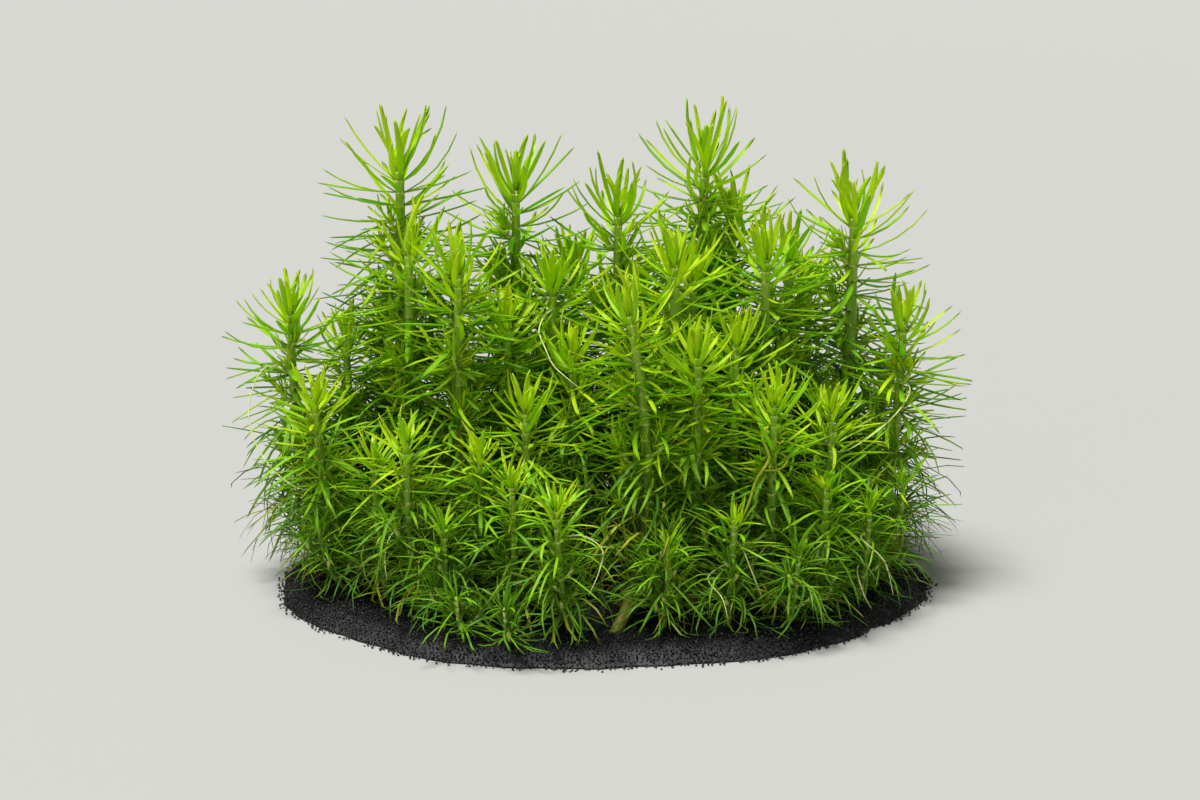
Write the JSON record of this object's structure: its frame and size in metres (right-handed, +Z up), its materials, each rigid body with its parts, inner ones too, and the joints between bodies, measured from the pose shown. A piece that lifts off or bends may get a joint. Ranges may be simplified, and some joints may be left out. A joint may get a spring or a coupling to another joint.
{
  "type": "pogostemon deccanensis",
  "caption": "Dense clump of upright aquarium stem plants with whorls of narrow green leaves, planted in a low bed of black gravel.",
  "frame": {"origin": "middle of the gravel bed's flat underside", "axes": "+Z up along the shoots, +X along the clump's length to the right seen from the front, -Y to the front, where the short shoots are"},
  "size_m": [0.2821, 0.2079, 0.1795],
  "materials": {
    "foliage": "soft satin leaf skin",
    "gravel": "dark matt granules with a few glints"
  },
  "bodies": {
    "root": {"gravel_bed": "gravel", "tall_shoot_1": "foliage", "tall_shoot_2": "foliage", "tall_shoot_3": "foliage", "tall_shoot_4": "foliage", "tall_shoot_5": "foliage", "middle_shoot_1": "foliage", "middle_shoot_2": "foliage", "middle_shoot_3": "foliage", "middle_shoot_4": "foliage", "middle_shoot_5": "foliage", "middle_shoot_6": "foliage", "middle_shoot_7": "foliage", "middle_shoot_8": "foliage", "middle_shoot_9": "foliage", "middle_shoot_10": "foliage", "middle_shoot_11": "foliage", "middle_shoot_12": "foliage", "middle_shoot_13": "foliage", "middle_shoot_14": "foliage", "front_shoot_1": "foliage", "front_shoot_2": "foliage", "front_shoot_3": "foliage", "front_shoot_4": "foliage", "front_shoot_5": "foliage", "front_shoot_6": "foliage", "front_shoot_7": "foliage", "front_shoot_8": "foliage", "front_shoot_9": "foliage", "front_shoot_10": "foliage", "front_shoot_11": "foliage", "front_shoot_12": "foliage", "low_shoot_1": "foliage", "low_shoot_2": "foliage", "low_shoot_3": "foliage", "low_shoot_4": "foliage", "low_shoot_5": "foliage", "low_shoot_6": "foliage", "low_shoot_7": "foliage", "low_shoot_8": "foliage", "low_shoot_9": "foliage", "back_shoot_1": "foliage", "back_shoot_2": "foliage", "back_shoot_3": "foliage", "back_shoot_4": "foliage", "back_shoot_5": "foliage", "back_shoot_6": "foliage", "back_shoot_7": "foliage", "back_shoot_8": "foliage", "back_shoot_9": "foliage", "back_shoot_10": "foliage", "back_shoot_11": "foliage", "back_shoot_12": "foliage"}
  },
  "joints": []
}
